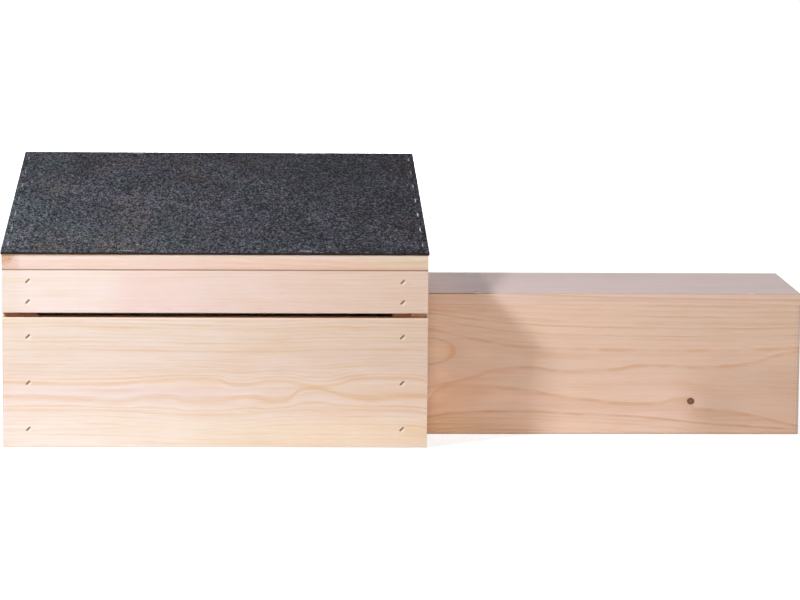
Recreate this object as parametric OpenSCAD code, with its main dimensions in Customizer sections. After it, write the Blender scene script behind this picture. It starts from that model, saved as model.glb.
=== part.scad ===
// Hedgehog house of planed softwood: a nest box under a felted lid that is
// hinged at the back and falls to the front, with an entrance tunnel on its
// right side. Millimetres. X runs along the front, Y from front to back, Z up.
// The origin is the centre of the nest box's underside.

/* [Nest box] */
// Width of the nest box along its front
house_width = 450; // [380:1:600]
// Depth of the nest box from front to back
house_depth = 414; // [360:1:560]
// Height of the lid's underside at the front wall
front_height = 190; // [186:1:260]
// Fall of the lid towards the front, in degrees
roof_pitch = 9.5; // [5:0.5:15]
// Gap between the closed lid and the tops of the walls
lid_seat_gap = 0.05; // [0.02:0.01:0.5]
// Thickness of the boards in the walls, in the lid and on the tunnel's sides
board_thickness = 17; // [14:0.5:21]
// Height of the lower board in each wall
lower_height = 139; // [120:1:145]
// Height of the ventilation slot between the two front boards
slot_height = 5; // [2:0.5:6]
// Chamfer along the planed edges of the boards
arris = 0.8; // [0.3:0.1:1.5]
// Chamfer where the top board of the tunnel meets its sides
tight_arris = 0.2; // [0:0.1:0.8]

/* [Posts and floor] */
// Width of the square corner posts
post_width = 20; // [17:1:30]
// Gap between the top of a post and the lid above it
post_gap = 3; // [1:0.5:10]
// Thickness of the floor boards
floor_thickness = 17; // [12:0.5:21]
// Gap between two floor boards
floor_gap = 1; // [0.5:0.5:6]

/* [Lid] */
// Gap between two boards of the lid
lid_board_gap = 0.6; // [0.2:0.1:3]
// Width of the battens under the lid
batten_width = 40; // [26:1:60]
// Thickness of the battens under the lid
batten_thickness = 17; // [12:0.5:24]
// Distance of each batten's middle from the middle of the lid
batten_offset = 130; // [60:1:135]
// Room between the ends of a batten and the walls
batten_clearance = 15; // [8:1:22]
// Thickness of the roofing felt
felt_thickness = 2.4; // [1.5:0.1:4]
// How far the felt stands out past the lid boards
felt_overhang = 1; // [0:0.5:4]

/* [Doorway and tunnel] */
// Width of the doorway in the right wall
door_width = 130; // [100:1:134]
// Height of the doorway above the floor
door_height = 111; // [90:1:116]
// Radius of the doorway's corners
door_radius = 12; // [4:1:30]
// Length of the tunnel outside the nest box
tunnel_length = 411; // [200:1:600]
// Clear width inside the tunnel
tunnel_width = 153; // [136:1:170]
// Height of the tunnel's side boards
tunnel_wall_height = 142.5; // [130:0.5:160]
// Thickness of the tunnel's top board
tunnel_top_thickness = 12.5; // [10:0.5:21]
// How far the tunnel's front stands back from the front of the nest box
tunnel_setback = 87; // [60:1:110]

/* [Hinges] */
// Length of each butt hinge
hinge_length = 40; // [30:1:60]
// Distance of each hinge's middle from the middle of the lid
hinge_offset = 140; // [80:1:155]
// Reach of a leaf from the pin
leaf_reach = 15; // [13:0.5:15]
// Thickness of a leaf
leaf_thickness = 1.2; // [0.8:0.1:1.5]
// Diameter of the hinge pin
pin_diameter = 3; // [2:0.1:3.4]
// Outer diameter of the knuckles
knuckle_diameter = 5.4; // [5:0.1:6]
// Running clearance round the pin, on the radius
pin_clearance = 0.05; // [0.02:0.01:0.1]
// Gap between two knuckles, and between a knuckle and the wood
knuckle_gap = 0.3; // [0.2:0.05:0.6]

/* [Staples] */
// Width of a staple in the walls, over its crown
staple_crown = 5.8; // [4:0.1:8]
// Thickness of the wire of a wall staple
staple_wire = 1.2; // [0.8:0.1:1.6]
// Length of the legs of a wall staple
staple_leg = 30; // [24:1:32]
// How deep the crown of a wall staple is sunk below the surface
staple_sink = 0.9; // [0:0.1:2]
// Distance of a staple from the edge of a wide board
wide_edge = 20; // [12:1:30]
// Distance of a staple from the edge of a narrow board
narrow_edge = 12; // [8:1:13]
// How much lower the side staples are than the front and back ones
side_stagger = 8; // [7:0.5:9]
// Distance of the tunnel's staples from the ends of its top board
tunnel_staple_inset = 57; // [20:1:90]
// Width of a staple in the felt, over its crown
felt_crown = 12.8; // [8:0.1:14]
// Width of the wire of a felt staple
felt_wire_width = 1.2; // [0.8:0.1:1.6]
// Thickness of the wire of a felt staple
felt_wire = 0.6; // [0.4:0.1:1]
// Length of the legs of a felt staple
felt_leg = 8; // [6:0.5:9]
// Distance of the felt staples from the edges of the lid
felt_staple_edge = 5; // [4:0.5:12]
// Number of felt staples along each side of the lid
felt_side_count = 7; // [2:1:12]
// Distance between the two felt staples along the front and the back
felt_front_spacing = 190; // [60:1:300]

/* [Screws] */
// Diameter of the screws in the battens and the tunnel
screw_diameter = 4; // [3:0.1:5]
// Length of the batten screws
batten_screw_length = 30; // [24:1:31]
// Length of the screws that hold the tunnel
tunnel_screw_length = 45; // [30:1:60]
// Diameter of the hinge screws
hinge_screw_diameter = 3; // [2.5:0.1:3.5]
// Length of the hinge screws
hinge_screw_length = 16; // [10:1:20]
// Clearance round a screw or a staple in its hole
fastener_clearance = 0.05; // [0:0.01:0.1]

/* [Hidden] */
$fn = 48;

LEFT = -1;
RIGHT = 1;
FRONT = -1;
BACK = 1;

// Half sizes and inner faces of the nest box
half_w = house_width / 2;
half_d = house_depth / 2;
inner_w = half_w - board_thickness;
inner_d = half_d - board_thickness;
post_x = inner_w - post_width / 2;
post_y = inner_d - post_width / 2;

// Lid: its length along the slope, and at a depth the height of its underside
// and that of the walls below it
roof_length = house_depth / cos(roof_pitch);
function under_lid(y) = front_height + (y + half_d) * tan(roof_pitch);
function wall_top(y) = under_lid(y) - lid_seat_gap;
back_height = under_lid(inner_d);
lid_board_count = 3;
lid_board_width = (roof_length - (lid_board_count - 1) * lid_board_gap) / lid_board_count;
felt_top = board_thickness + felt_thickness;

// Floor: three boards fill the space between the front and the back wall
floor_board_count = 3;
floor_board_width = (2 * inner_d - (floor_board_count - 1) * floor_gap) / floor_board_count;
function floor_board_y(index) = -inner_d + index * (floor_board_width + floor_gap);

// Tunnel: its faces from front to back, and the doorway's middle, follow from
// its setback
tunnel_height = tunnel_wall_height + tunnel_top_thickness;
tunnel_front_y = -half_d + tunnel_setback;
tunnel_back_y = tunnel_front_y + tunnel_width + 2 * board_thickness;
tunnel_wall_ys = [tunnel_front_y + board_thickness / 2, tunnel_back_y - board_thickness / 2];
door_y = (tunnel_front_y + tunnel_back_y) / 2;

// Hinges: the pin stands off the wood by the knuckle and its gap, and lies on
// the line that halves the angle between the back wall and the lid's back edge
knuckle_radius = knuckle_diameter / 2;
pin_radius = pin_diameter / 2;
pin_standoff = knuckle_radius + knuckle_gap;
pin_rise = pin_standoff * tan(roof_pitch / 2);
knuckle_count = 5;
knuckle_pitch = hinge_length / knuckle_count;
pin_end = 0.5;
leaf_screw_x = hinge_length / 2 - knuckle_pitch;
leaf_screw_reach = (leaf_reach + knuckle_radius) / 2;

// Facing of a fastener: its own Z turns to the outward normal of the surface
faces_front = [90, 0, 0];
faces_back = [90, 0, 180];
faces_right = [90, 0, 90];
faces_left = [90, 0, -90];
faces_up = [0, 0, 0];
faces_down = [180, 0, 0];

// Heights of the staples in the front, back and side walls
lower_rows = [wide_edge, lower_height / 2, lower_height - wide_edge];
front_rows = concat(
    lower_rows,
    [lower_height + slot_height + narrow_edge, front_height - narrow_edge]
);
back_rows = concat(
    lower_rows,
    [lower_height + wide_edge, (lower_height + back_height) / 2, back_height - wide_edge]
);
slant = 45;
front_spots = [for (side = [LEFT, RIGHT]) for (z = front_rows) [side * post_x, -half_d, z]];
back_spots = [for (side = [LEFT, RIGHT]) for (z = back_rows) [side * post_x, half_d, z]];
function side_spots(side) = concat(
    [for (z = front_rows) [side * half_w, -post_y, z - side_stagger]],
    [for (z = back_rows) [side * half_w, post_y, z - side_stagger]],
    [for (i = [0 : floor_board_count - 1])
        [side * half_w, floor_board_y(i) + floor_board_width / 2, floor_thickness / 2]]
);
tunnel_spots = [
    for (x = [half_w + tunnel_staple_inset, half_w + tunnel_length - tunnel_staple_inset])
        for (y = tunnel_wall_ys) [x, y, tunnel_height]
];
felt_side_spots = [
    for (side = [LEFT, RIGHT])
        for (i = [0.5 : 1 : felt_side_count])
            [side * (half_w - felt_staple_edge), i * roof_length / felt_side_count, felt_top]
];
felt_end_spots = [
    for (side = [LEFT, RIGHT])
        for (y = [felt_staple_edge, roof_length - felt_staple_edge])
            [side * felt_front_spacing / 2, y, felt_top]
];

// Screws: two through each batten into each lid board, and four for the tunnel
batten_screw_x = batten_width / 4;
batten_screw_y = lid_board_width / 6;
function batten_spots(side) = [
    for (i = [0 : lid_board_count - 1])
        for (turn = [-1, 1]) [
            side * batten_offset + turn * batten_screw_x,
            lid_board_width / 2 + i * (lid_board_width + lid_board_gap) + turn * batten_screw_y,
            -batten_thickness
        ]
];
tunnel_screw_spots = [
    for (y = tunnel_wall_ys)
        for (z = [tunnel_wall_height / 4, tunnel_wall_height * 3 / 4]) [inner_w, y, z]
];

// How far a cutting tool runs past the faces it cuts
over = 1;

wood_front = [0.95, 0.87, 0.80];
wood_side = [0.91, 0.81, 0.70];
wood_tunnel = [0.84, 0.71, 0.61];
wood_inner = [0.88, 0.77, 0.64];
felt_grey = [0.24, 0.25, 0.29];
steel_grey = [0.62, 0.61, 0.58];
wire_brown = [0.50, 0.43, 0.35];

// Cross section of a planed board with its four long edges broken, by one
// chamfer along its low side and one along its high side
module board_section(width, thickness, low = arris, high = arris) {
    polygon([
        [low, 0], [width - low, 0],
        [width, low], [width, thickness - high],
        [width - high, thickness], [high, thickness],
        [0, thickness - high], [0, low]
    ]);
}

// Boards from their lowest corner, with the grain and length along X, Y or Z
module board_x(size, low = arris, high = arris) {
    rotate([90, 0, 90])
        linear_extrude(size[0])
            board_section(size[1], size[2], low, high);
}

module board_y(size) {
    translate([0, size[1], 0])
        rotate([90, 0, 0])
            linear_extrude(size[1])
                board_section(size[0], size[2]);
}

module board_z(size) {
    linear_extrude(size[2])
        board_section(size[0], size[1]);
}

// Everything below the sloping tops of the walls
module below_lid() {
    translate([-half_w - over, 0, 0])
        rotate([90, 0, 90])
            linear_extrude(house_width + 2 * over)
                polygon([
                    [-half_d - over, -over],
                    [half_d + over, -over],
                    [half_d + over, wall_top(half_d + over)],
                    [-half_d - over, wall_top(-half_d - over)]
                ]);
}

// Frame of the lid: X along the front, Y up the slope, Z out of its underside
module in_lid() {
    translate([0, -half_d, front_height])
        rotate([roof_pitch, 0, 0])
            children();
}

// Narrow-crown wire staple, crown sunk below the surface at Z = 0
module wall_staple() {
    translate([-staple_crown / 2, -staple_wire / 2, -staple_sink - staple_wire])
        cube([staple_crown, staple_wire, staple_wire]);
    for (x = [-staple_crown / 2, staple_crown / 2 - staple_wire])
        translate([x, -staple_wire / 2, -staple_sink - staple_leg])
            cube([staple_wire, staple_wire, staple_leg]);
}

// Hole that a wall staple leaves, open to the surface above its crown
module wall_staple_hole() {
    width = staple_wire + 2 * fastener_clearance;
    length = staple_crown + 2 * fastener_clearance;
    depth = staple_sink + staple_wire + fastener_clearance;
    translate([-length / 2, -width / 2, -depth])
        cube([length, width, depth + over]);
    for (x = [-length / 2, length / 2 - width])
        translate([x, -width / 2, -staple_sink - staple_leg - fastener_clearance])
            cube([width, width, staple_leg]);
}

module wall_staples(spots, facing, turn) {
    for (spot = spots)
        translate(spot)
            rotate(facing)
                rotate([0, 0, turn])
                    wall_staple();
}

module wall_staple_holes(spots, facing, turn) {
    for (spot = spots)
        translate(spot)
            rotate(facing)
                rotate([0, 0, turn])
                    wall_staple_hole();
}

// Wide-crown staple lying on the felt at Z = 0, grown by a clearance for its hole
module felt_staple(grow) {
    length = felt_crown + 2 * grow;
    width = felt_wire_width + 2 * grow;
    leg = felt_wire + 2 * grow;
    translate([-length / 2, -width / 2, 0])
        cube([length, width, felt_wire + grow]);
    for (x = [-length / 2, length / 2 - leg])
        translate([x, -width / 2, -felt_leg - grow])
            cube([leg, width, felt_leg + grow + felt_wire]);
}

module all_felt_staples(grow) {
    for (spot = felt_side_spots)
        translate(spot)
            rotate([0, 0, 90])
                felt_staple(grow);
    for (spot = felt_end_spots)
        translate(spot)
            felt_staple(grow);
}

// Countersunk wood screw with a cross recess, head flush at Z = 0
function head_radius(diameter) = diameter * 0.95;
function head_height(diameter) = head_radius(diameter) - diameter / 2;

module screw(diameter, length) {
    head = head_radius(diameter);
    slot_length = head * 1.1;
    slot_width = diameter / 5;
    slot_depth = diameter * 0.35;
    difference() {
        rotate_extrude()
            polygon([
                [0, 0], [head, 0],
                [diameter / 2, -head_height(diameter)],
                [diameter / 2, -length + diameter],
                [0, -length]
            ]);
        for (turn = [0, 90])
            rotate([0, 0, turn])
                translate([-slot_length / 2, -slot_width / 2, -slot_depth])
                    cube([slot_length, slot_width, slot_depth + over]);
    }
}

// Countersunk hole for a screw, with the screw's own length as its depth
module screw_hole(diameter, length) {
    head = head_radius(diameter) + fastener_clearance;
    shank = diameter / 2 + fastener_clearance;
    rotate_extrude()
        polygon([
            [0, over], [head, over], [head, 0],
            [shank, -head_height(diameter)],
            [shank, -length - fastener_clearance],
            [0, -length - fastener_clearance]
        ]);
}

// One leaf of a butt hinge. X runs along the pin, Y away from it, and Z = 0 is
// the face of the wood that the leaf lies on.
module leaf(knuckles) {
    plate_start = knuckle_radius + knuckle_gap;
    difference() {
        union() {
            translate([-hinge_length / 2, plate_start, 0])
                cube([hinge_length, leaf_reach - plate_start, leaf_thickness]);
            for (i = knuckles)
                translate([-hinge_length / 2 + i * knuckle_pitch + knuckle_gap / 2, 0, 0]) {
                    cube([knuckle_pitch - knuckle_gap, plate_start + over, leaf_thickness]);
                    translate([0, 0, pin_standoff])
                        rotate([0, 90, 0])
                            cylinder(h = knuckle_pitch - knuckle_gap, r = knuckle_radius);
                }
        }
        translate([-hinge_length / 2 - over, 0, pin_standoff])
            rotate([0, 90, 0])
                cylinder(h = hinge_length + 2 * over, r = pin_radius + pin_clearance);
        for (x = [-leaf_screw_x, leaf_screw_x])
            translate([x, leaf_screw_reach, leaf_thickness])
                screw_hole(hinge_screw_diameter, hinge_screw_length);
    }
}

// Puts a leaf's own frame on the back wall, hanging down from the pin
module on_back_wall(side) {
    translate([side * hinge_offset, half_d, under_lid(half_d) + pin_rise])
        rotate([-90, 0, 0])
            children();
}

// Puts a leaf's own frame on the back edge of the lid, standing up from the pin
module on_lid_edge(side) {
    in_lid()
        translate([side * hinge_offset, roof_length, -pin_rise])
            rotate([90, 0, 180])
                children();
}

module leaf_screws() {
    for (x = [-leaf_screw_x, leaf_screw_x])
        translate([x, leaf_screw_reach, leaf_thickness])
            screw(hinge_screw_diameter, hinge_screw_length);
}

module leaf_screw_holes() {
    for (x = [-leaf_screw_x, leaf_screw_x])
        translate([x, leaf_screw_reach, leaf_thickness])
            screw_hole(hinge_screw_diameter, hinge_screw_length);
}

module wall_leaf(side) {
    color(steel_grey)
        on_back_wall(side)
            leaf([0, 2, 4]);
}

module lid_leaf(side) {
    color(steel_grey)
        on_lid_edge(side)
            leaf([1, 3]);
}

// Hinge pin with chamfered ends that stand a little out of the knuckles
module hinge_pin(side) {
    half = hinge_length / 2 + pin_end;
    color(steel_grey)
        on_back_wall(side)
            translate([0, 0, pin_standoff])
                rotate([0, 90, 0])
                    rotate_extrude()
                        polygon([
                            [0, -half], [pin_radius - pin_end, -half],
                            [pin_radius, -half + pin_end],
                            [pin_radius, half - pin_end],
                            [pin_radius - pin_end, half], [0, half]
                        ]);
}

// Front and back walls: boards along X that cover the ends of the side walls
module front_lower_board() {
    color(wood_front)
        difference() {
            translate([-half_w, -half_d, 0])
                board_x([house_width, board_thickness, lower_height]);
            wall_staple_holes(front_spots, faces_front, slant);
        }
}

module front_upper_board() {
    bottom = lower_height + slot_height;
    color(wood_front)
        difference() {
            intersection() {
                translate([-half_w, -half_d, bottom])
                    board_x([house_width, board_thickness, under_lid(-inner_d) - bottom]);
                below_lid();
            }
            wall_staple_holes(front_spots, faces_front, slant);
        }
}

module back_lower_board() {
    color(wood_side)
        difference() {
            translate([-half_w, inner_d, 0])
                board_x([house_width, board_thickness, lower_height]);
            wall_staple_holes(back_spots, faces_back, slant);
        }
}

module back_upper_board() {
    color(wood_side)
        difference() {
            intersection() {
                translate([-half_w, inner_d, lower_height])
                    board_x([
                        house_width, board_thickness,
                        under_lid(half_d) + over - lower_height
                    ]);
                below_lid();
            }
            wall_staple_holes(back_spots, faces_back, slant);
            for (side = [LEFT, RIGHT])
                on_back_wall(side)
                    leaf_screw_holes();
        }
}

// Side walls: boards along Y between the front and the back wall
module side_lower(side) {
    translate([side == LEFT ? -half_w : inner_w, -inner_d, 0])
        board_y([board_thickness, 2 * inner_d, lower_height]);
}

module side_upper(side) {
    intersection() {
        translate([side == LEFT ? -half_w : inner_w, -inner_d, lower_height])
            board_y([
                board_thickness, 2 * inner_d,
                under_lid(half_d) + over - lower_height
            ]);
        below_lid();
    }
}

// Doorway with sawn round corners, through the right wall just above the floor
module doorway() {
    reach = door_width / 2 - door_radius;
    translate([inner_w - over, door_y, floor_thickness])
        rotate([90, 0, 90])
            linear_extrude(board_thickness + 2 * over)
                union() {
                    translate([-reach, 0])
                        square([2 * reach, door_height]);
                    translate([-door_width / 2, door_radius])
                        square([door_width, door_height - 2 * door_radius]);
                    for (x = [-reach, reach])
                        for (y = [door_radius, door_height - door_radius])
                            translate([x, y])
                                circle(r = door_radius);
                }
}

module tunnel_screw_holes() {
    for (spot = tunnel_screw_spots)
        translate(spot)
            rotate(faces_left)
                screw_hole(screw_diameter, tunnel_screw_length);
}

module left_lower_board() {
    color(wood_side)
        difference() {
            side_lower(LEFT);
            wall_staple_holes(side_spots(LEFT), faces_left, slant);
        }
}

module left_upper_board() {
    color(wood_side)
        difference() {
            side_upper(LEFT);
            wall_staple_holes(side_spots(LEFT), faces_left, slant);
        }
}

module right_lower_board() {
    color(wood_side)
        difference() {
            side_lower(RIGHT);
            doorway();
            wall_staple_holes(side_spots(RIGHT), faces_right, slant);
            tunnel_screw_holes();
        }
}

module right_upper_board() {
    color(wood_side)
        difference() {
            side_upper(RIGHT);
            doorway();
            wall_staple_holes(side_spots(RIGHT), faces_right, slant);
            tunnel_screw_holes();
        }
}

// Corner posts inside the walls, which take the staples of both walls
module post(side, end) {
    top = under_lid(end * post_y - post_width / 2) - post_gap;
    color(wood_inner)
        difference() {
            translate([side * post_x - post_width / 2, end * post_y - post_width / 2, 0])
                board_z([post_width, post_width, top]);
            if (end == FRONT)
                wall_staple_holes(front_spots, faces_front, slant);
            if (end == BACK)
                wall_staple_holes(back_spots, faces_back, slant);
            if (side == LEFT)
                wall_staple_holes(side_spots(LEFT), faces_left, slant);
            if (side == RIGHT)
                wall_staple_holes(side_spots(RIGHT), faces_right, slant);
        }
}

// Floor boards between the walls, notched round the corner posts
module floor_board(index) {
    color(wood_inner)
        difference() {
            translate([-inner_w, floor_board_y(index), 0])
                board_x([2 * inner_w, floor_board_width, floor_thickness]);
            for (side = [LEFT, RIGHT])
                for (end = [FRONT, BACK])
                    translate([
                        side * post_x - post_width / 2,
                        end * post_y - post_width / 2,
                        -over
                    ])
                        cube([post_width, post_width, floor_thickness + 2 * over]);
            wall_staple_holes(side_spots(LEFT), faces_left, slant);
            wall_staple_holes(side_spots(RIGHT), faces_right, slant);
        }
}

// Tunnel: two boards on edge under one wide board, open below and at its end
module tunnel_wall(y) {
    color(wood_tunnel)
        difference() {
            translate([half_w, y - board_thickness / 2, 0])
                board_x(
                    [tunnel_length, board_thickness, tunnel_wall_height],
                    high = tight_arris
                );
            wall_staple_holes(tunnel_spots, faces_up, 0);
            tunnel_screw_holes();
        }
}

module tunnel_front_board() {
    tunnel_wall(tunnel_wall_ys[0]);
}

module tunnel_back_board() {
    tunnel_wall(tunnel_wall_ys[1]);
}

module tunnel_top_board() {
    color(wood_tunnel)
        difference() {
            translate([half_w, tunnel_front_y, tunnel_wall_height])
                board_x(
                    [tunnel_length, tunnel_back_y - tunnel_front_y, tunnel_top_thickness],
                    low = tight_arris
                );
            wall_staple_holes(tunnel_spots, faces_up, 0);
        }
}

// Lid: three boards side by side on two battens, under one sheet of felt
module lid_board(index) {
    color(wood_front)
        in_lid()
            difference() {
                translate([-half_w, index * (lid_board_width + lid_board_gap), 0])
                    board_x([house_width, lid_board_width, board_thickness]);
                all_felt_staples(fastener_clearance);
                lid_screw_holes();
            }
}

// Holes of the batten screws and of the lid's hinge screws, in the lid's frame
module lid_screw_holes() {
    for (side = [LEFT, RIGHT]) {
        for (spot = batten_spots(side))
            translate(spot)
                rotate(faces_down)
                    screw_hole(screw_diameter, batten_screw_length);
        translate([side * hinge_offset, roof_length, -pin_rise])
            rotate([90, 0, 180])
                leaf_screw_holes();
    }
}

module lid_batten(side) {
    start = (board_thickness + batten_clearance) / cos(roof_pitch);
    color(wood_inner)
        in_lid()
            difference() {
                translate([side * batten_offset - batten_width / 2, start, -batten_thickness])
                    board_y([batten_width, roof_length - 2 * start, batten_thickness]);
                lid_screw_holes();
            }
}

module roof_felt() {
    color(felt_grey)
        in_lid()
            difference() {
                translate([-half_w - felt_overhang, -felt_overhang, board_thickness])
                    cube([
                        house_width + 2 * felt_overhang,
                        roof_length + 2 * felt_overhang,
                        felt_thickness
                    ]);
                all_felt_staples(fastener_clearance);
            }
}

// Fasteners, one node for each group of like ones
module front_staples() {
    color(wire_brown)
        wall_staples(front_spots, faces_front, slant);
}

module back_staples() {
    color(wire_brown)
        wall_staples(back_spots, faces_back, slant);
}

module left_staples() {
    color(wire_brown)
        wall_staples(side_spots(LEFT), faces_left, slant);
}

module right_staples() {
    color(wire_brown)
        wall_staples(side_spots(RIGHT), faces_right, slant);
}

module tunnel_staples() {
    color(wire_brown)
        wall_staples(tunnel_spots, faces_up, 0);
}

module felt_staples() {
    color(steel_grey)
        in_lid()
            all_felt_staples(0);
}

module batten_screws() {
    color(steel_grey)
        in_lid()
            for (side = [LEFT, RIGHT])
                for (spot = batten_spots(side))
                    translate(spot)
                        rotate(faces_down)
                            screw(screw_diameter, batten_screw_length);
}

module tunnel_screws() {
    color(steel_grey)
        for (spot = tunnel_screw_spots)
            translate(spot)
                rotate(faces_left)
                    screw(screw_diameter, tunnel_screw_length);
}

module hinge_wall_screws() {
    color(steel_grey)
        for (side = [LEFT, RIGHT])
            on_back_wall(side)
                leaf_screws();
}

module hinge_lid_screws() {
    color(steel_grey)
        for (side = [LEFT, RIGHT])
            on_lid_edge(side)
                leaf_screws();
}

front_lower_board();
front_upper_board();
back_lower_board();
back_upper_board();
left_lower_board();
left_upper_board();
right_lower_board();
right_upper_board();
post(LEFT, FRONT);  // post_front_left
post(RIGHT, FRONT);  // post_front_right
post(LEFT, BACK);  // post_back_left
post(RIGHT, BACK);  // post_back_right
floor_board(0);  // floor_board_front
floor_board(1);  // floor_board_middle
floor_board(2);  // floor_board_back
tunnel_front_board();
tunnel_back_board();
tunnel_top_board();
lid_board(0);  // lid_board_front
lid_board(1);  // lid_board_middle
lid_board(2);  // lid_board_back
lid_batten(LEFT);  // lid_batten_left
lid_batten(RIGHT);  // lid_batten_right
roof_felt();
wall_leaf(LEFT);  // hinge_wall_leaf_left
wall_leaf(RIGHT);  // hinge_wall_leaf_right
lid_leaf(LEFT);  // hinge_lid_leaf_left
lid_leaf(RIGHT);  // hinge_lid_leaf_right
hinge_pin(LEFT);  // hinge_pin_left
hinge_pin(RIGHT);  // hinge_pin_right
front_staples();
back_staples();
left_staples();
right_staples();
tunnel_staples();
felt_staples();
batten_screws();
tunnel_screws();
hinge_wall_screws();
hinge_lid_screws();
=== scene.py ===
"""Looks, light and camera of the hedgehog house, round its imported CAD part.

Scene lengths are metres. Materials work in millimetres of the part's own frame:
X along the front, Y from front to back, Z up, origin under the nest box. In them
g is the node graph in hand, and u, v and w run along, across and through a board.
"""

import math

import bpy
from mathutils import Matrix, Vector

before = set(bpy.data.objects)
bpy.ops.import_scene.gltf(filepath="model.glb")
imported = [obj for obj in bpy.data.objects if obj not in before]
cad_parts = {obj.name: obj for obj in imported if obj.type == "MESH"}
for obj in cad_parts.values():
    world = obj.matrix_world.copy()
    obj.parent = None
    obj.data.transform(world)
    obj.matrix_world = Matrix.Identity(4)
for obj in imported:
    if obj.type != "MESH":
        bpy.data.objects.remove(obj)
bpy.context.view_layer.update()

X, Y, Z = 0, 1, 2
MM = 1000.0


def extent(name, axis):
    """Lowest and highest place of a node on an axis, to a thousandth of a millimetre."""
    places = [vertex.co[axis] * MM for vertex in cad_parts[name].data.vertices]
    return round(min(places), 3), round(max(places), 3)


# Edges that the materials are fitted to, in millimetres
SLOT_BOTTOM = extent("front_lower_board", Z)[1]
SLOT_TOP = extent("front_upper_board", Z)[0]
TUNNEL_FRONT = extent("tunnel_top_board", Y)[0]
TUNNEL_END = extent("tunnel_top_board", X)[1]
TUNNEL_JOINT, TUNNEL_HEIGHT = extent("tunnel_top_board", Z)
# Height of the nest box at the front, up to the lid
FRONT_HEIGHT = 190.0


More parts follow.
